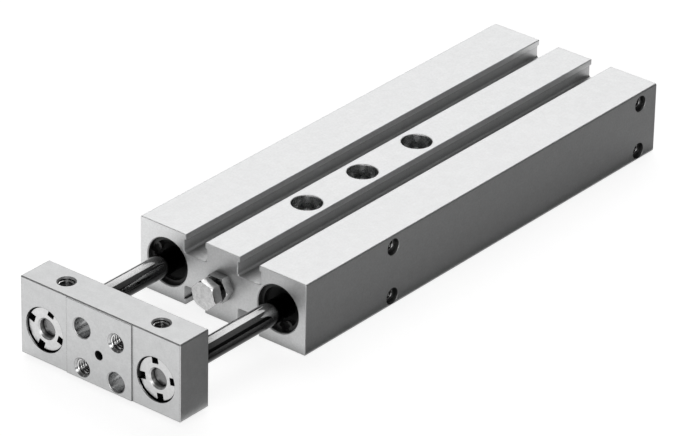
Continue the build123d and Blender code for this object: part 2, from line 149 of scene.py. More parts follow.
def sees_camera_or_gloss(tree):
    """1 for camera, glossy and transmission rays, else 0."""
    path = tree.nodes.new("ShaderNodeLightPath")
    first = math_node(tree, "MAXIMUM", path.outputs["Is Camera Ray"], path.outputs["Is Glossy Ray"])
    return math_node(tree, "MAXIMUM", first, path.outputs["Is Transmission Ray"])


def matt_material(name, tone):
    """Matt grey material, as cloth or card has."""
    material, tree, shader, output = new_material(name)
    shader.inputs["Base Color"].default_value = (tone, tone, tone, 1)
    shader.inputs["Roughness"].default_value = 1.0
    shader.inputs["Specular IOR Level"].default_value = 0.0
    return material, tree, shader, output


def floor_material():
    """Matt floor with its own glow, weaker near the object as a painted shadow."""
    material, tree, shader, output = matt_material("pale_floor", FLOOR_ALBEDO)
    glow = tree.nodes.new("ShaderNodeEmission")
    glow.inputs["Color"].default_value = (1, 1, 1, 1)
    scaled = math_node(tree, "MULTIPLY", sees_camera_or_gloss(tree), FLOOR_GLOW)
    # Painted shadow: the glow dims where ambient occlusion finds the object close by.
    near = tree.nodes.new("ShaderNodeAmbientOcclusion")
    near.inputs["Distance"].default_value = SHADE_REACH
    shade = tree.nodes.new("ShaderNodeMapRange")
    shade.inputs["From Min"].default_value = SHADE_CLOSED
    shade.inputs["To Min"].default_value = SHADE_FLOOR
    link(tree, near.outputs["AO"], shade.inputs["Value"])
    camera_ray = tree.nodes.new("ShaderNodeLightPath").outputs["Is Camera Ray"]
    least = math_node(tree, "MULTIPLY", camera_ray, CAMERA_SHADE)
    shaded = math_node(tree, "MAXIMUM", shade.outputs["Result"], least)
    link(tree, math_node(tree, "MULTIPLY", scaled, shaded), glow.inputs["Strength"])
    both = tree.nodes.new("ShaderNodeAddShader")
    link(tree, shader.outputs[0], both.inputs[0])
    link(tree, glow.outputs[0], both.inputs[1])
    link(tree, both.outputs[0], output.inputs["Surface"])
    return material


def level_corners(left, right, front, back, height):
    """Corners of a level rectangle."""
    return [(left, front, height), (right, front, height), (right, back, height), (left, back, height)]


half = FLOOR_SIZE / 2
floor = flat_mesh("floor", level_corners(-half, half, -half, half, -FLOOR_GAP))
floor.data.materials.append(floor_material())


def add_card(name, cloth, corners):
    """Card that only gloss sees."""
    card = flat_mesh(name, corners)
    card.data.materials.append(cloth)
    card.visible_camera = False
    card.visible_diffuse = False
    card.visible_shadow = False
    card.visible_transmission = False
    return card


CARD_LIFT = 0.4 * MM
WALL_FOOT = 27.2 * MM
CARD_RIGHT = 1.1
CARD_FRONT = -0.1
CARD_BACK = 1.4
SIDE_CARD_TOP = 0.7
BACK_CARD_LEFT = 0.15
BACK_CARD_TOP = 0.55
grey_cloth = matt_material("grey_card", GREY_CARD)[0]
black_cloth = matt_material("black_card", BLACK_CARD)[0]
add_card("card_right_low", grey_cloth, level_corners(WALL_FOOT, CARD_RIGHT, CARD_FRONT, CARD_BACK, CARD_LIFT))
add_card("card_right_back", black_cloth, [
    (CARD_RIGHT, CARD_FRONT, 0),
    (CARD_RIGHT, CARD_BACK, 0),
    (CARD_RIGHT, CARD_BACK, SIDE_CARD_TOP),
    (CARD_RIGHT, CARD_FRONT, SIDE_CARD_TOP),
])
add_card("card_far_back", black_cloth, [
    (BACK_CARD_LEFT, CARD_BACK, 0),
    (CARD_RIGHT, CARD_BACK, 0),
    (CARD_RIGHT, CARD_BACK, BACK_CARD_TOP),
    (BACK_CARD_LEFT, CARD_BACK, BACK_CARD_TOP),
])

# %% [markdown]
# ## Lamps
# One large softbox overhead, to the left and behind, gives the bright top faces. A weak one at the
# front left and a long low one in front light the front faces and the thread turns, and one beside
# the camera makes the glints in holes and on chamfers. The world adds a dim grey all round, and the
# camera sees it white.

# %% Lamps and world


def add_softbox(name, place, aim, size, power):
    """Rectangular area lamp aimed at a point."""
    data = bpy.data.lights.new(name, "AREA")
    data.shape = "RECTANGLE"
    data.size, data.size_y = size
    data.energy = power
    lamp = bpy.data.objects.new(name, data)
    bpy.context.scene.collection.objects.link(lamp)
    lamp.location = place
    lamp.rotation_euler = (Vector(aim) - Vector(place)).to_track_quat("-Z", "Y").to_euler()
    return lamp


FRONT_AIM = (0, -0.05, 0)
add_softbox("softbox_top", (-0.55, 0.75, 1.0), MIDDLE_HOLE, size=(1.3, 1.5), power=8.2)
add_softbox("softbox_front_left", (-0.9, -1.1, 0.55), FRONT_AIM, size=(0.9, 0.7), power=0.8)
add_softbox("softbox_camera", (0.90, -1.12, 0.80), FRONT_AIM, size=(0.8, 0.8), power=4.5)
add_softbox("softbox_front_low", (0.15, -1.6, 0.28), FRONT_AIM, size=(1.4, 0.36), power=5.4)

WORLD_GREY = 0.10
world = bpy.data.worlds.new("studio")
bpy.context.scene.world = world
world.use_nodes = True
sky = world.node_tree.nodes["Background"]
sky.inputs["Color"].default_value = (1, 1, 1, 1)
paths = world.node_tree.nodes.new("ShaderNodeLightPath")
level = math_node(world.node_tree, "MAXIMUM", paths.outputs["Is Camera Ray"], WORLD_GREY)
link(world.node_tree, level, sky.inputs["Strength"])
bpy.context.scene.view_settings.view_transform = "Standard"

# %% [markdown]
# ## Shared surface effects
# Five shader groups hold what several materials share. Each gives only masks and normals, and the
# shader itself stays in the material. "grain" is the fine matt texture of anodising, "brushing" the
# lines that grinding or turning leaves along one direction, and the edge group a mask of the corners
# with a rounded normal, with which materials paint edge highlights or dark edge lines. The crevice
# shade group says how open a place is: materials darken their colour with it as painted shade in
# slots, gaps and holes, which mirror less light. "near_axes" marks what lies close to a hole's axis.

# %% Shader groups


GRAIN_BUMP = 0.02 * MM
BRUSH_BUMP = 0.01 * MM
SPECK_SHARE = 0.35
BEVEL_SAMPLES = 6
NEAR_SAMPLES = 8


def shader_group(name, inputs, outputs):
    """Group with named inputs (name, default; None for a vector) and named outputs (name, kind)."""
    group = bpy.data.node_groups.new(name, "ShaderNodeTree")
    for label, value in inputs:
        kind = "NodeSocketVector" if value is None else "NodeSocketFloat"
        socket = group.interface.new_socket(name=label, in_out="INPUT", socket_type=kind)
        if value is not None:
            socket.default_value = value
    for label, kind in outputs:
        group.interface.new_socket(name=label, in_out="OUTPUT", socket_type=kind)
    entry = group.nodes.new("NodeGroupInput")
    leave = group.nodes.new("NodeGroupOutput")
    return group, entry, leave


def noise(tree, vector, scale, detail=2.0, roughness=0.5):
    """Noise whose scale, per metre, is a socket or None for one already in the vector."""
    node = tree.nodes.new("ShaderNodeTexNoise")
    node.inputs["Detail"].default_value = detail
    node.inputs["Roughness"].default_value = roughness
    node.inputs["Scale"].default_value = 1.0
    if scale is not None:
        link(tree, scale, node.inputs["Scale"])
    link(tree, vector, node.inputs["Vector"])
    return node.outputs["Fac"]


def bumped(tree, distance, strength, height, surface):
    """Normal of a surface that a height socket roughens."""
    bump = tree.nodes.new("ShaderNodeBump")
    bump.inputs["Distance"].default_value = distance
    link(tree, strength, bump.inputs["Strength"])
    link(tree, height, bump.inputs["Height"])
    link(tree, surface, bump.inputs["Normal"])
    return bump.outputs["Normal"]


def make_grain():
    """Fine matt grain: a bumped normal, and masks of faint clouds and specks around 0.5."""
    group, entry, leave = shader_group(
        "grain",
        [("Scale", 5000.0), ("Height", 0.15), ("Cloud Scale", 320.0), ("Surface", None)],
        [("Normal", "NodeSocketVector"), ("Clouds", "NodeSocketFloat"), ("Specks", "NodeSocketFloat")],
    )
    place = group.nodes.new("ShaderNodeTexCoord").outputs["Object"]
    fine = noise(group, place, entry.outputs["Scale"], detail=3.0, roughness=0.6)
    clouds = noise(group, place, entry.outputs["Cloud Scale"], detail=4.0, roughness=0.65)
    coarser = math_node(group, "MULTIPLY", entry.outputs["Scale"], SPECK_SHARE)
    specks = noise(group, place, coarser, detail=1.0)
    normal = bumped(group, GRAIN_BUMP, entry.outputs["Height"], fine, entry.outputs["Surface"])
    link(group, normal, leave.inputs["Normal"])
    link(group, clouds, leave.inputs["Clouds"])
    link(group, specks, leave.inputs["Specks"])
    return group


def make_brushing():
    """Fine lines: noise squeezed along the axis with the high number, per metre."""
    group, entry, leave = shader_group(
        "brushing",
        [("Across X", 200.0), ("Across Y", 9000.0), ("Across Z", 200.0), ("Height", 0.1), ("Surface", None)],
        [("Normal", "NodeSocketVector"), ("Lines", "NodeSocketFloat")],
    )
    place = group.nodes.new("ShaderNodeTexCoord").outputs["Object"]
    stretch = group.nodes.new("ShaderNodeCombineXYZ")
    for axis in "XYZ":
        link(group, entry.outputs[f"Across {axis}"], stretch.inputs[axis])
    scaled = group.nodes.new("ShaderNodeVectorMath")
    scaled.operation = "MULTIPLY"
    link(group, place, scaled.inputs[0])
    link(group, stretch.outputs[0], scaled.inputs[1])
    lines = noise(group, scaled.outputs[0], None, roughness=0.6)
    normal = bumped(group, BRUSH_BUMP, entry.outputs["Height"], lines, entry.outputs["Surface"])
    link(group, normal, leave.inputs["Normal"])
    link(group, lines, leave.inputs["Lines"])
    return group


def make_painted_edge_lines():
    """Corner mask, where a rounded normal turns from the true one, for painted edge lines; and that normal.
    """
    group, entry, leave = shader_group(
        "painted_edge_lines",
        [("Radius", 0.00015), ("Gain", 6.0)],
        [("Mask", "NodeSocketFloat"), ("Normal", "NodeSocketVector")],
    )
    bevel = group.nodes.new("ShaderNodeBevel")
    bevel.samples = BEVEL_SAMPLES
    link(group, entry.outputs["Radius"], bevel.inputs["Radius"])
    geometry = group.nodes.new("ShaderNodeNewGeometry")
    dot = group.nodes.new("ShaderNodeVectorMath")
    dot.operation = "DOT_PRODUCT"
    link(group, bevel.outputs["Normal"], dot.inputs[0])
    link(group, geometry.outputs["Normal"], dot.inputs[1])
    turned = math_node(group, "SUBTRACT", 1.0, dot.outputs["Value"])
    gained = math_node(group, "MULTIPLY", turned, entry.outputs["Gain"])
    link(group, math_node(group, "MINIMUM", gained, 1.0), leave.inputs["Mask"])
    link(group, bevel.outputs["Normal"], leave.inputs["Normal"])
    return group


def make_crevice_shade():
    """How open a place is, for painted shade: 1 on free faces, falling to Floor deep in slots, gaps and
    holes.
    """
    group, entry, leave = shader_group(
        "crevice_shade",
        [("Distance", 0.004), ("Closed", 0.25), ("Open", 0.75), ("Floor", 0.3)],
        [("Openness", "NodeSocketFloat")],
    )
    near = group.nodes.new("ShaderNodeAmbientOcclusion")
    near.samples = NEAR_SAMPLES
    link(group, entry.outputs["Distance"], near.inputs["Distance"])
    level = group.nodes.new("ShaderNodeMapRange")
    link(group, near.outputs["AO"], level.inputs["Value"])
    link(group, entry.outputs["Closed"], level.inputs["From Min"])
    link(group, entry.outputs["Open"], level.inputs["From Max"])
    link(group, entry.outputs["Floor"], level.inputs["To Min"])
    link(group, level.outputs["Result"], leave.inputs["Openness"])
    return group


def make_near_axes():
    """Mask of a zone of radius Radius about axes, from the two offsets to the nearest one."""
    group, entry, leave = shader_group(
        "near_axes",
        [("Across", 0.0), ("Along", 0.0), ("Radius", 0.004)],
        [("Mask", "NodeSocketFloat")],
    )
    first = math_node(group, "MULTIPLY", entry.outputs["Across"], entry.outputs["Across"])
    second = math_node(group, "MULTIPLY", entry.outputs["Along"], entry.outputs["Along"])
    reach = math_node(group, "SQRT", math_node(group, "ADD", first, second))
    link(group, math_node(group, "LESS_THAN", reach, entry.outputs["Radius"]), leave.inputs["Mask"])
    return group


grain_group = make_grain()
crevice_shade_group = make_crevice_shade()
axes_group = make_near_axes()
brushing_group = make_brushing()
painted_edge_group = make_painted_edge_lines()
print("shader groups:", [group.name for group in bpy.data.node_groups])

# %% [markdown]
# ## Materials
# One recipe makes every metal: two tones that the clouds and specks of the grain blend, another tone
# on the corners as a painted highlight or a painted dark line, a roughness that follows the specks,
# and a normal from the grain or the brushing. Three things are left to a few metals and are all
# painted shade: crevices darken what the light hardly reaches, a zone marks a machined surface that
# is smoother than the rest and darker because it lies sunk, and "facing" darkens every part of each
# thread turn but the flank that faces the mouth. A second, shorter recipe makes rubber, plastic and
# blackened steel.

# %% Blends
MASK_LOW = 0.3
MASK_HIGH = 0.7


def use_group(tree, group, **values):
    """Group node with its inputs set by name, where an underscore stands for a space."""
    node = tree.nodes.new("ShaderNodeGroup")
    node.node_tree = group
    for label, value in values.items():
        node.inputs[label.replace("_", " ")].default_value = value
    return node


def tinted(tree, mask, low, high):
    """Colour that runs from low to high over the middle of the mask."""
    ramp = tree.nodes.new("ShaderNodeValToRGB")
    ramp.color_ramp.elements[0].position = MASK_LOW
    ramp.color_ramp.elements[1].position = MASK_HIGH
    ramp.color_ramp.elements[0].color = (*low, 1)
    ramp.color_ramp.elements[1].color = (*high, 1)
    link(tree, mask, ramp.inputs["Fac"])
    return ramp.outputs["Color"]


def spread(tree, mask, low, high):
    """Number that runs from low to high over the middle of the mask."""
    node = tree.nodes.new("ShaderNodeMapRange")
    node.inputs["From Min"].default_value = MASK_LOW
    node.inputs["From Max"].default_value = MASK_HIGH
    node.inputs["To Min"].default_value = low
    node.inputs["To Max"].default_value = high
    link(tree, mask, node.inputs["Value"])
    return node.outputs["Result"]


def mixed(tree, blend, mask, first, second):
    """Mix of two colours, where the mask and the colours are sockets or plain values."""
    mix = tree.nodes.new("ShaderNodeMix")
    mix.data_type = "RGBA"
    mix.blend_type = blend
    for label, value in (("Factor", mask), ("A", first), ("B", second)):
        sockets = [s for s in mix.inputs if s.name == label and s.enabled]
        if isinstance(value, (int, float, tuple)):
            sockets[0].default_value = value
        else:
            link(tree, value, sockets[0])
    return [s for s in mix.outputs if s.enabled][0]


def dimmed(tree, colour, share, tone):
    """Colour multiplied by a grey tone, a socket or a number, as far as the share says."""
    grey_tone = (tone, tone, tone, 1) if isinstance(tone, float) else tone
    return mixed(tree, "MULTIPLY", share, colour, grey_tone)


# %% [markdown]
# ### The metal recipe
# The colour is built up in this order: base tones, specks or grinding lines, the painted highlight or
# dark line on the corners, the painted shade of machined zones and of crevices, and the painted
# shade on the thread flanks.

# %% Metal recipe
SPECK_TONE = 0.90
MACHINED_CALM = 0.95


def metal(name, low, high, rough, grain, clouds, height, edge=None, painted_edge_tone=1.0, brushed=None,
          crevice=None, machined=None, machined_rough=0.2, machined_shade_tone=0.6, facing=None):
    """Bare or plated metal.

    low, high: its two tones; rough: least and most roughness; grain, clouds: scales per metre;
    height: strength of the grain; edge: radius and gain of the corner mask, whose edge tone is a
    painted highlight or a painted dark line; brushed: the three scales and the strength of the lines;
    crevice: distance, floor, closed and open of the painted shade in crevices; machined: function that
    gives the zone, whose darker tone is painted shade, and the part of it that the crevice shade leaves
    out; facing: tone of the painted shade on the thread flanks.
    """
    material, tree, shader, output = new_material(name)
    shader.inputs["Metallic"].default_value = 1.0
    surface = tree.nodes.new("ShaderNodeNewGeometry").outputs["Normal"]
    if edge:
        painted_edge = use_group(tree, painted_edge_group, Radius=edge[0], Gain=edge[1])
        surface = painted_edge.outputs["Normal"]
    texture = use_group(tree, grain_group, Scale=grain, Height=height, Cloud_Scale=clouds)
    link(tree, surface, texture.inputs["Surface"])
    normal = texture.outputs["Normal"]
    colour = tinted(tree, texture.outputs["Clouds"], low, high)
    colour = dimmed(tree, colour, 1.0, spread(tree, texture.outputs["Specks"], SPECK_TONE, 1.0))
    if brushed:
        across_x, across_y, across_z, depth = brushed
        lines = use_group(tree, brushing_group, Across_X=across_x, Across_Y=across_y,
                          Across_Z=across_z, Height=depth)
        link(tree, surface, lines.inputs["Surface"])
        normal = lines.outputs["Normal"]
        colour = tinted(tree, lines.outputs["Lines"], low, high)
    # Painted highlight or painted dark line: the corners take the edge tone, standing in for edges that catch
    # or miss the light.
    if edge:
        colour = mixed(tree, "MIX", painted_edge.outputs["Mask"], colour, (painted_edge_tone, painted_edge_tone, painted_edge_tone, 1))
    polish = spread(tree, texture.outputs["Specks"], *rough)
    shaded = 1.0
    # Painted shade: a machined zone's colour is darkened, as it lies in a recess, a hole or a nut.
    if machined:
        zone, bright = machined(tree)
        shaded = math_node(tree, "SUBTRACT", 1.0, bright)
        colour = dimmed(tree, colour, zone, machined_shade_tone)
        change = math_node(tree, "MULTIPLY", zone, machined_rough - rough[0])
        polish = math_node(tree, "ADD", polish, change)
        calm = math_node(tree, "SUBTRACT", 1.0, math_node(tree, "MULTIPLY", zone, MACHINED_CALM))
        link(tree, math_node(tree, "MULTIPLY", calm, height), texture.inputs["Height"])
    # Painted shade: the colour darkens in slots, gaps and holes, and on the rods near the bores.
    if crevice:
        distance, floor_tone, closed, opened = crevice
        crevice_shade_node = use_group(tree, crevice_shade_group, Distance=distance, Floor=floor_tone, Closed=closed, Open=opened)
        colour = dimmed(tree, colour, shaded, crevice_shade_node.outputs["Openness"])
    # Painted shade: each thread turn is darkened but for the flank that faces the mouth.
    if facing:
        flank = tree.nodes.new("ShaderNodeAttribute")
        flank.attribute_name = "facing"
        level = tree.nodes.new("ShaderNodeMapRange")
        level.inputs["To Min"].default_value = facing
        link(tree, flank.outputs["Fac"], level.inputs["Value"])
        colour = dimmed(tree, colour, 1.0, level.outputs["Result"])
    link(tree, colour, shader.inputs["Base Color"])
    link(tree, polish, shader.inputs["Roughness"])
    link(tree, normal, shader.inputs["Normal"])
    return material


# %% [markdown]
# ### The dull recipe
# Rubber, plastic and blackened steel only need grain and faint clouds.

# %% Dull recipe


def dull(name, low, high, rough, grain, clouds, height, level=0.5):
    """Rubber, plastic or phosphated steel: not metallic, with grain and faint clouds."""
    material, tree, shader, output = new_material(name)
    shader.inputs["Metallic"].default_value = 0.0
    shader.inputs["Specular IOR Level"].default_value = level
    texture = use_group(tree, grain_group, Scale=grain, Height=height, Cloud_Scale=clouds)
    link(tree, tree.nodes.new("ShaderNodeNewGeometry").outputs["Normal"], texture.inputs["Surface"])
    link(tree, tinted(tree, texture.outputs["Clouds"], low, high), shader.inputs["Base Color"])
    link(tree, spread(tree, texture.outputs["Specks"], *rough), shader.inputs["Roughness"])
    link(tree, texture.outputs["Normal"], shader.inputs["Normal"])
    return material


def grey(value, tint=(0.0, 0.0, 0.0)):
    """Neutral tone with a small tint added."""
    return tuple(value + part for part in tint)


# %% [markdown]
# ### Machined zones
# Some surfaces of one solid are finished differently: the screw recesses in the middle rail, the
# tool holes and the ring nuts' seats in the yoke, and the turned front ends of the rods. They are
# smoother, and their colour is darkened as painted shade, since each lies sunk in a recess, a hole
# or a nut; on the rods' ends, fine turning rings vary that shade. Each zone is worked out from the
# object coordinates and the sizes of the holes.

# %% Zones
RECESS_PITCH = 22.0 * MM
RECESS_RADIUS = 4.05 * MM
RECESS_REACH = 30.0 * MM
TOP_SKIN = 0.15 * MM
TOOL_RADIUS = 2.68 * MM
SEAT_RADIUS = 6.02 * MM
ROD_HALF = 18.0 * MM
ROD_FACE_DEPTH = 3.5 * MM
RING_SCALE = 16000.0
RING_LOW = 0.85
RING_SWING = 0.15
PATTERN_HALF = 5.5 * MM
PATTERN_HEIGHT = 9.9 * MM
yoke_low, yoke_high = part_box("yoke")
body_low, body_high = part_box("housing")
rod_height = (body_high.z + body_low.z) / 2
print("yoke front at", round(yoke_low.y / MM, 2), "mm, rods", round(rod_height / MM, 2), "mm high")


def object_place(tree):
    """The three object coordinates."""
    split = tree.nodes.new("ShaderNodeSeparateXYZ")
    link(tree, tree.nodes.new("ShaderNodeTexCoord").outputs["Object"], split.inputs[0])
    return split.outputs


def offset(tree, socket, centre):
    """Distance from the nearer of two axes that stand at plus and minus the centre."""
    return math_node(tree, "SUBTRACT", math_node(tree, "ABSOLUTE", socket), centre)


def zone_about(tree, across, along, radius):
    """Mask of what lies within a radius of the nearest axis."""
    zone = use_group(tree, axes_group, Radius=radius)
    link(tree, across, zone.inputs["Across"])
    link(tree, along, zone.inputs["Along"])
    return zone.outputs["Mask"]


def recess_zone(tree):
    """The three screw recesses along the middle rail, below the top face."""
    place = object_place(tree)
    shifted = math_node(tree, "ADD", place["Y"], RECESS_PITCH / 2)
    nearest = math_node(tree, "SUBTRACT", place["Y"], math_node(tree, "SNAP", shifted, RECESS_PITCH))
    three = math_node(tree, "LESS_THAN", math_node(tree, "ABSOLUTE", place["Y"]), RECESS_REACH)
    below = math_node(tree, "LESS_THAN", place["Z"], body_high.z - TOP_SKIN)
    inside = math_node(tree, "MULTIPLY", three, below)
    zone = math_node(tree, "MULTIPLY", zone_about(tree, place["X"], nearest, RECESS_RADIUS), inside)
    return zone, zone


def yoke_zone(tree):
    """The four tool holes about the pad's middle and the two seats of the ring nuts."""
    place = object_place(tree)
    height = math_node(tree, "SUBTRACT", place["Z"], PATTERN_HEIGHT)
    tool_x = offset(tree, place["X"], PATTERN_HALF)
    tool_z = offset(tree, height, PATTERN_HALF)
    tools = zone_about(tree, tool_x, tool_z, TOOL_RADIUS)
    seats = zone_about(tree, offset(tree, place["X"], ROD_HALF), height, SEAT_RADIUS)
    return math_node(tree, "MAXIMUM", tools, seats), tools


def rod_end_zone(tree):
    """The turned front end of each rod, with its fine rings, where painted shade darkens the colour."""
    place = object_place(tree)
    height = math_node(tree, "SUBTRACT", place["Z"], rod_height)
    across = offset(tree, place["X"], ROD_HALF)
    across_squared = math_node(tree, "MULTIPLY", across, across)
    height_squared = math_node(tree, "MULTIPLY", height, height)
    reach = math_node(tree, "SQRT", math_node(tree, "ADD", across_squared, height_squared))
    wave = math_node(tree, "SINE", math_node(tree, "MULTIPLY", reach, RING_SCALE))
    rings = math_node(tree, "ADD", math_node(tree, "MULTIPLY", wave, RING_SWING), RING_LOW)
    zone = math_node(tree, "LESS_THAN", place["Y"], yoke_low.y + ROD_FACE_DEPTH)
    return math_node(tree, "MULTIPLY", zone, rings), zone


# %% [markdown]
# ### The finishes
# The housing is matt anodised, the yoke a little darker with painted dark lines on its sharp edges,
# the rods are ground and polished, and the small steel parts are nickel or zinc plated. A cut thread
# is bare and bright. The housing and the plated parts get painted highlights on their edges, and the
# crevice, machined and facing settings below are painted shade.

# %% Materials
COOL = (-0.004, 0.0, 0.002)
materials = {
    "housing_aluminium": metal(
        "housing_aluminium", grey(0.80, COOL), grey(0.85, COOL), rough=(0.42, 0.52),
        grain=5200, clouds=420, height=0.35, edge=(0.26 * MM, 10.0),
        crevice=(6.0 * MM, 0.12, 0.30, 0.80),
        machined=recess_zone, machined_rough=0.22, machined_shade_tone=0.78),
    "yoke_aluminium": metal(
        "yoke_aluminium", grey(0.62, COOL), grey(0.68, COOL), rough=(0.40, 0.50),
        grain=6500, clouds=420, height=0.22, edge=(0.22 * MM, 10.0), painted_edge_tone=0.2,
        crevice=(3.0 * MM, 0.12, 0.25, 0.75),
        machined=yoke_zone, machined_rough=0.13, machined_shade_tone=0.9),
    "ground_rod_steel": metal(
        "ground_rod_steel", grey(0.60), grey(0.68), rough=(0.06, 0.10),
        grain=4000, clouds=500, height=0.05, brushed=(150, 12000, 150, 0.05),
        crevice=(24.0 * MM, 0.02, 0.80, 1.00),
        machined=rod_end_zone, machined_rough=0.28, machined_shade_tone=0.25),
    "nickel_nut": metal(
        "nickel_nut", grey(0.68), grey(0.76), rough=(0.30, 0.40),
        grain=5000, clouds=700, height=0.15, edge=(0.12 * MM, 5.0),
        crevice=(2.5 * MM, 0.12, 0.25, 0.75)),
    "zinc_steel": metal(
        "zinc_steel", grey(0.62), grey(0.80), rough=(0.08, 0.16),
        grain=3000, clouds=1400, height=0.2, edge=(0.12 * MM, 8.0),
        crevice=(6.0 * MM, 0.38, 0.50, 0.97)),
    "screw_zinc": metal(
        "screw_zinc", grey(0.62), grey(0.80), rough=(0.08, 0.16),
        grain=3000, clouds=1400, height=0.2, facing=0.15),
    "cut_thread": metal(
        "cut_thread", grey(0.86), grey(0.94), rough=(0.14, 0.20),
        grain=3000, clouds=900, height=0.1, facing=0.02),
    "bearing_steel": metal(
        "bearing_steel", grey(0.50), grey(0.58), rough=(0.22, 0.32),
        grain=4000, clouds=600, height=0.1),
    "polished_balls": metal(
        "polished_balls", grey(0.72), grey(0.76), rough=(0.05, 0.09),
        grain=3000, clouds=600, height=0.02),
    "turned_aluminium": metal(
        "turned_aluminium", grey(0.64), grey(0.74), rough=(0.25, 0.38),
        grain=4000, clouds=500, height=0.1, brushed=(300, 8000, 300, 0.2)),
    "blackened_spring_steel": dull(
        "blackened_spring_steel", grey(0.010), grey(0.020), rough=(0.30, 0.42),
        grain=5000, clouds=800, height=0.2, level=0.35),
    "black_rubber": dull(
        "black_rubber", grey(0.006), grey(0.012), rough=(0.50, 0.65),
        grain=4000, clouds=700, height=0.25, level=0.2),
    "seal_rubber": dull(
        "seal_rubber", (0.030, 0.035, 0.045), (0.050, 0.055, 0.065), rough=(0.35, 0.50),
        grain=4000, clouds=700, height=0.2),
    "buffer_rubber": dull(
        "buffer_rubber", (0.090, 0.070, 0.050), (0.120, 0.095, 0.070), rough=(0.50, 0.65),
        grain=4000, clouds=700, height=0.2),
    "cage_plastic": dull(
        "cage_plastic", grey(0.10), grey(0.14), rough=(0.35, 0.45),
        grain=4000, clouds=700, height=0.15),
    "guide_plastic": dull(
        "guide_plastic", (0.70, 0.68, 0.60), (0.77, 0.75, 0.68), rough=(0.40, 0.50),
        grain=4000, clouds=500, height=0.15),
    "magnet_ferrite": dull(
        "magnet_ferrite", grey(0.06), grey(0.09), rough=(0.40, 0.55),
        grain=5000, clouds=600, height=0.25),
}
print("materials:", len(materials))

# %% [markdown]
# ## Dress the solids
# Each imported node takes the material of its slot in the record. Only its material changes; its mesh
# and its place stay as packed.

# %% Materials onto nodes
slot_of = {row["node"]: row["material_slot"] for row in frame["record"]["subparts"]}
for name, piece in nodes.items():
    piece.data.materials.clear()
    piece.data.materials.append(materials[slot_of[name]])
print("dressed:", len(slot_of), "nodes")

# %% [markdown]
# ## Screw threads
# One Geometry Nodes tree makes every thread: a flat grid is rolled into a tube, and its radius dips
# once a pitch along a helix, with the ends faded out. A hole's thread stands inward from the plain
# wall of the solid, the stop screw's is cut into its shank.

# %% Thread generator
CREST_SHARE = 0.25
ROOT_SHARE = 0.75
FLANK_FAR = 0.20
FLANK_NEAR = 0.07
WELD = 0.001 * MM


def thread_inputs(tree):
    """Inputs of the thread tree, each with a default, and its one output."""
    lengths = [("Radius", 2.1), ("Depth", 0.3), ("Pitch", 0.8), ("Length", 8.0), ("Fade", 0.4)]
    for label, value in lengths:
        socket = tree.interface.new_socket(name=label, in_out="INPUT", socket_type="NodeSocketFloat")
        socket.default_value = value * MM
    for label, value in (("Around", 65), ("Rings", 81)):
        socket = tree.interface.new_socket(name=label, in_out="INPUT", socket_type="NodeSocketInt")
        socket.default_value = value
    tree.interface.new_socket(name="Inside", in_out="INPUT", socket_type="NodeSocketBool")
    tree.interface.new_socket(name="Material", in_out="INPUT", socket_type="NodeSocketMaterial")
    tree.interface.new_socket(name="Geometry", in_out="OUTPUT", socket_type="NodeSocketGeometry")
    return tree.nodes.new("NodeGroupInput").outputs, tree.nodes.new("NodeGroupOutput")


def thread_radius(tree, entry, height, saw):
    """Crest radius less a dip once a pitch, which fades out at both ends."""
    from_middle = math_node(tree, "ABSOLUTE", math_node(tree, "SUBTRACT", saw, 0.5))
    flat = tree.nodes.new("ShaderNodeMapRange")
    flat.inputs["From Min"].default_value = CREST_SHARE
    flat.inputs["From Max"].default_value = ROOT_SHARE
    link(tree, math_node(tree, "MULTIPLY", from_middle, 2.0), flat.inputs["Value"])
    near = math_node(tree, "DIVIDE", height, entry["Fade"])
    far = math_node(tree, "DIVIDE", math_node(tree, "SUBTRACT", entry["Length"], height), entry["Fade"])
    nearer = math_node(tree, "MINIMUM", math_node(tree, "MINIMUM", near, far), 1.0)
    fade = math_node(tree, "MAXIMUM", nearer, 0.0)
    share = math_node(tree, "MULTIPLY", flat.outputs["Result"], fade)
    return math_node(tree, "SUBTRACT", entry["Radius"], math_node(tree, "MULTIPLY", share, entry["Depth"]))


def with_facing(tree, entry, saw, mesh):
    """The grid with 1 stored on the flank of each turn that faces the hole's mouth, and 0 elsewhere, where
    painted shade falls.
    """
    middle = math_node(tree, "ADD", math_node(tree, "MULTIPLY", entry["Inside"], 0.5), 0.25)
    facing = tree.nodes.new("ShaderNodeMapRange")
    facing.inputs["From Min"].default_value = FLANK_FAR
    facing.inputs["From Max"].default_value = FLANK_NEAR
    away = math_node(tree, "ABSOLUTE", math_node(tree, "SUBTRACT", saw, middle))
    link(tree, away, facing.inputs["Value"])
    noted = tree.nodes.new("GeometryNodeStoreNamedAttribute")
    noted.data_type = "FLOAT"
    noted.domain = "POINT"
    noted.inputs["Name"].default_value = "facing"
    link(tree, mesh, noted.inputs["Geometry"])
    link(tree, facing.outputs["Result"], noted.inputs["Value"])
    return noted.outputs[0]


def welded(tree, entry, tube):
    """The tube with its seam closed and its faces turned inwards for a hole."""
    closed = tree.nodes.new("GeometryNodeMergeByDistance")
    closed.inputs["Distance"].default_value = WELD
    link(tree, tube, closed.inputs["Geometry"])
    flipped = tree.nodes.new("GeometryNodeFlipFaces")
    link(tree, closed.outputs[0], flipped.inputs[0])
    side = tree.nodes.new("GeometryNodeSwitch")
    side.input_type = "GEOMETRY"
    link(tree, entry["Inside"], side.inputs["Switch"])
    link(tree, closed.outputs[0], side.inputs["False"])
    link(tree, flipped.outputs[0], side.inputs["True"])
    return side.outputs[0]


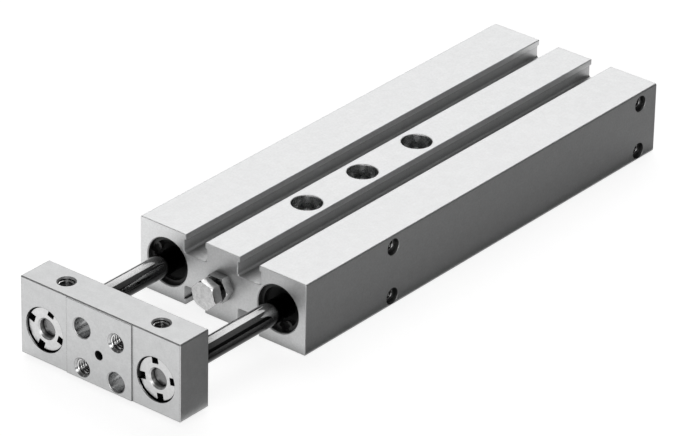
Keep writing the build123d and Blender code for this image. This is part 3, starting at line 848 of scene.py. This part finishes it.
def make_thread_tree():
    """Threaded tube along +Z from the origin: crest radius, depth, pitch and length."""
    tree = bpy.data.node_groups.new("thread", "GeometryNodeTree")
    entry, leave = thread_inputs(tree)
    grid = tree.nodes.new("GeometryNodeMeshGrid")
    grid.inputs["Size X"].default_value = 1
    grid.inputs["Size Y"].default_value = 1
    link(tree, entry["Around"], grid.inputs["Vertices X"])
    link(tree, entry["Rings"], grid.inputs["Vertices Y"])
    split = tree.nodes.new("ShaderNodeSeparateXYZ")
    link(tree, tree.nodes.new("GeometryNodeInputPosition").outputs[0], split.inputs[0])
    round_share = math_node(tree, "ADD", split.outputs["X"], 0.5)
    height = math_node(tree, "MULTIPLY", math_node(tree, "ADD", split.outputs["Y"], 0.5), entry["Length"])
    turns = math_node(tree, "SUBTRACT", math_node(tree, "DIVIDE", height, entry["Pitch"]), round_share)
    saw = math_node(tree, "FRACT", turns)

    radius = thread_radius(tree, entry, height, saw)
    angle = math_node(tree, "MULTIPLY", round_share, math.tau)
    place = tree.nodes.new("ShaderNodeCombineXYZ")
    link(tree, math_node(tree, "MULTIPLY", radius, math_node(tree, "COSINE", angle)), place.inputs["X"])
    link(tree, math_node(tree, "MULTIPLY", radius, math_node(tree, "SINE", angle)), place.inputs["Y"])
    link(tree, height, place.inputs["Z"])
    rolled = tree.nodes.new("GeometryNodeSetPosition")
    link(tree, with_facing(tree, entry, saw, grid.outputs["Mesh"]), rolled.inputs["Geometry"])
    link(tree, place.outputs[0], rolled.inputs["Position"])

    smooth = tree.nodes.new("GeometryNodeSetShadeSmooth")
    link(tree, welded(tree, entry, rolled.outputs[0]), smooth.inputs["Geometry"])
    real = tree.nodes.new("GeometryNodeRealizeInstances")
    link(tree, smooth.outputs[0], real.inputs[0])
    coated = tree.nodes.new("GeometryNodeSetMaterial")
    link(tree, real.outputs[0], coated.inputs["Geometry"])
    link(tree, entry["Material"], coated.inputs["Material"])
    link(tree, coated.outputs[0], leave.inputs["Geometry"])
    return tree


thread_tree = make_thread_tree()
print("thread tree:", len(thread_tree.nodes), "nodes")

# %% [markdown]
# ### Baking
# Each thread is baked to a plain mesh: the tree runs on an empty object, whose result is copied, and
# the object goes. The baked mesh is then turned and moved to its hole, and joined with its like.

# %% Bake, place and join
AROUND = 65
RINGS_PER_PITCH = 16


def bake(name, tree, values):
    """Runs a geometry tree with the named input values and returns the plain mesh."""
    shell = bpy.data.objects.new(name, bpy.data.meshes.new(name))
    bpy.context.scene.collection.objects.link(shell)
    modifier = shell.modifiers.new("make", "NODES")
    modifier.node_group = tree
    for item in tree.interface.items_tree:
        if item.in_out == "INPUT" and item.name in values:
            modifier[item.identifier] = values[item.name]
    graph = bpy.context.evaluated_depsgraph_get()
    mesh = bpy.data.meshes.new_from_object(shell.evaluated_get(graph), depsgraph=graph)
    bpy.data.objects.remove(shell)
    mesh.name = name
    mesh.materials.clear()
    mesh.materials.append(values["Material"])
    return mesh


def thread_mesh(name, radius, depth, pitch, length, inside, material):
    """Threaded tube along +Z that fades out over half a pitch at each end."""
    rings = int(round(length / pitch * RINGS_PER_PITCH)) + 1
    values = {
        "Radius": radius, "Depth": depth, "Pitch": pitch, "Length": length, "Fade": pitch / 2,
        "Around": AROUND, "Rings": rings, "Inside": inside, "Material": material,
    }
    return bake(name, thread_tree, values)


def along(place, axis):
    """Transform that puts local +Z on an axis that starts at a place."""
    turn = Vector((0, 0, 1)).rotation_difference(Vector(axis)).to_matrix().to_4x4()
    return Matrix.Translation(Vector(place)) @ turn


def join_meshes(name, meshes):
    """One mesh from several, each with one material; where one has no facing, it counts as 1."""
    vertices = []
    faces = []
    facing = []
    cloths = []
    chosen = []
    for mesh in meshes:
        start = len(vertices)
        vertices.extend(tuple(vertex.co) for vertex in mesh.vertices)
        noted = mesh.attributes.get("facing")
        facing.extend([row.value for row in noted.data] if noted else [1.0] * len(mesh.vertices))
        faces.extend(tuple(start + index for index in face.vertices) for face in mesh.polygons)
        if mesh.materials[0] not in cloths:
            cloths.append(mesh.materials[0])
        chosen.extend([cloths.index(mesh.materials[0])] * len(mesh.polygons))
    joined = bpy.data.meshes.new(name)
    joined.from_pydata(vertices, [], faces)
    for cloth in cloths:
        joined.materials.append(cloth)
    joined.polygons.foreach_set("material_index", chosen)
    joined.polygons.foreach_set("use_smooth", [True] * len(joined.polygons))
    joined.attributes.new("facing", "FLOAT", "POINT").data.foreach_set("value", facing)
    joined.update()
    return joined


def add_piece(name, mesh, body):
    """Object for a finished mesh that rides on a body."""
    piece = bpy.data.objects.new(name, mesh)
    bpy.context.scene.collection.objects.link(piece)
    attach(piece, body)
    return piece


# %% [markdown]
# ### Threads in holes
# Radii are those of the plain walls, less a hair so that the tube's crests don't lie in the wall.

# %% Hole threads
HAIR = 0.01 * MM
COARSE = {"wall": 2.1 * MM, "depth": 0.36 * MM, "pitch": 0.8 * MM}
FINE = {"wall": 1.65 * MM, "depth": 0.30 * MM, "pitch": 0.7 * MM}
FRONT_CHAMFER = 0.5 * MM
FRONT_THREAD = 9.0 * MM
TOP_CHAMFER = 0.4 * MM
TOP_THREAD = 7.0 * MM
TOP_THREAD_X = 15.3 * MM
TOP_THREAD_SETBACK = 5.2 * MM
SIDE_RELIEF = 1.6 * MM
SIDE_THREAD = 2.9 * MM
SIDE_PLACES_Y = (-20.7 * MM, 82.5 * MM)
SIDE_PLACES_Z = (2.6 * MM, 16.6 * MM)
PORT_PLACES_Y = (-4.1 * MM, 77.3 * MM)
PORT_THREAD = 2.4 * MM


def hole_threads(name, places, axis, size, length, body):
    """One baked piece for all equal threads that start at these places and run along one axis."""
    parts = []
    for place in places:
        mesh = thread_mesh(name, size["wall"] - HAIR, size["depth"], size["pitch"], length, True,
                           materials["cut_thread"])
        mesh.transform(along(place, axis))
        parts.append(mesh)
    return add_piece(name, join_meshes(name, parts), body)


front_y = yoke_low.y + FRONT_CHAMFER
front_places = [
    (PATTERN_HALF, front_y, PATTERN_HEIGHT + PATTERN_HALF),
    (-PATTERN_HALF, front_y, PATTERN_HEIGHT - PATTERN_HALF),
]
hole_threads("yoke_front_threads", front_places, (0, 1, 0), COARSE, FRONT_THREAD,
             "yoke_slide")

yoke_middle = yoke_high.y - TOP_THREAD_SETBACK
top_places = [(x, yoke_middle, yoke_high.z - TOP_CHAMFER) for x in (-TOP_THREAD_X, TOP_THREAD_X)]
hole_threads("yoke_top_threads", top_places, (0, 0, -1), COARSE, TOP_THREAD,
             "yoke_slide")

for side, wall, inward in (("right", body_high.x, -1), ("left", body_low.x, 1)):
    start_x = wall + inward * SIDE_RELIEF
    starts = [(start_x, y, z) for y in SIDE_PLACES_Y for z in SIDE_PLACES_Z]
    hole_threads(f"side_threads_{side}", starts, (inward, 0, 0), FINE, SIDE_THREAD,
                 "cylinder_housing")

port_places = [(body_low.x + TOP_CHAMFER, y, rod_height) for y in PORT_PLACES_Y]
hole_threads("air_port_threads", port_places, (1, 0, 0), COARSE, PORT_THREAD,
             "cylinder_housing")
print("hole threads: 4 in the yoke, 8 in the side walls, 2 air ports")

# %% [markdown]
# ### The stop screw
# The solid's plain shank is cut away from a copy of its mesh, and a threaded one takes its place.

# %% Threaded stop screw
SCREW_RADIUS = 2.0 * MM
SCREW_DEPTH = 0.36 * MM
SCREW_PITCH = 0.7 * MM
HEAD_HEIGHT = 2.8 * MM
screw_low, screw_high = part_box("stop_screw")
shank_start = screw_low.y + HEAD_HEIGHT


def head_faces(mesh):
    """Faces of the hexagon head: all that don't lie on the shank."""
    kept = []
    for face in mesh.polygons:
        corners = [mesh.vertices[index].co for index in face.vertices]
        near_axis = all(math.hypot(c.x, c.z - rod_height) < SCREW_RADIUS + 2 * HAIR for c in corners)
        behind_head = all(c.y > shank_start - HAIR for c in corners)
        if not (near_axis and behind_head):
            kept.append(face)
    return kept


def head_mesh(source):
    """Mesh of the solid's head alone."""
    head = bpy.data.meshes.new("stop_screw_head")
    kept = head_faces(source)
    used = sorted({index for face in kept for index in face.vertices})
    order = {index: place for place, index in enumerate(used)}
    head.from_pydata([tuple(source.vertices[index].co) for index in used], [],
                     [tuple(order[index] for index in face.vertices) for face in kept])
    head.materials.append(materials["zinc_steel"])
    return head


def threaded_screw():
    """Head from the solid and a threaded shank, as one piece that stands for the solid."""
    head = head_mesh(nodes["stop_screw"].data)
    shank = thread_mesh("shank", SCREW_RADIUS, SCREW_DEPTH, SCREW_PITCH, screw_high.y - shank_start,
                        False, materials["screw_zinc"])
    shank.transform(along((0, shank_start, rod_height), (0, 1, 0)))
    joined = join_meshes("stop_screw_threaded", [head, shank])
    smooth = [False] * len(head.polygons) + [True] * len(shank.polygons)
    joined.polygons.foreach_set("use_smooth", smooth)
    piece = add_piece("stop_screw_threaded", joined, "stop_screw_body")
    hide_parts("stop_screw")
    return piece


threaded_screw()
print("stop screw: thread from", round(shank_start / MM, 2), "to", round(screw_high.y / MM, 2), "mm")
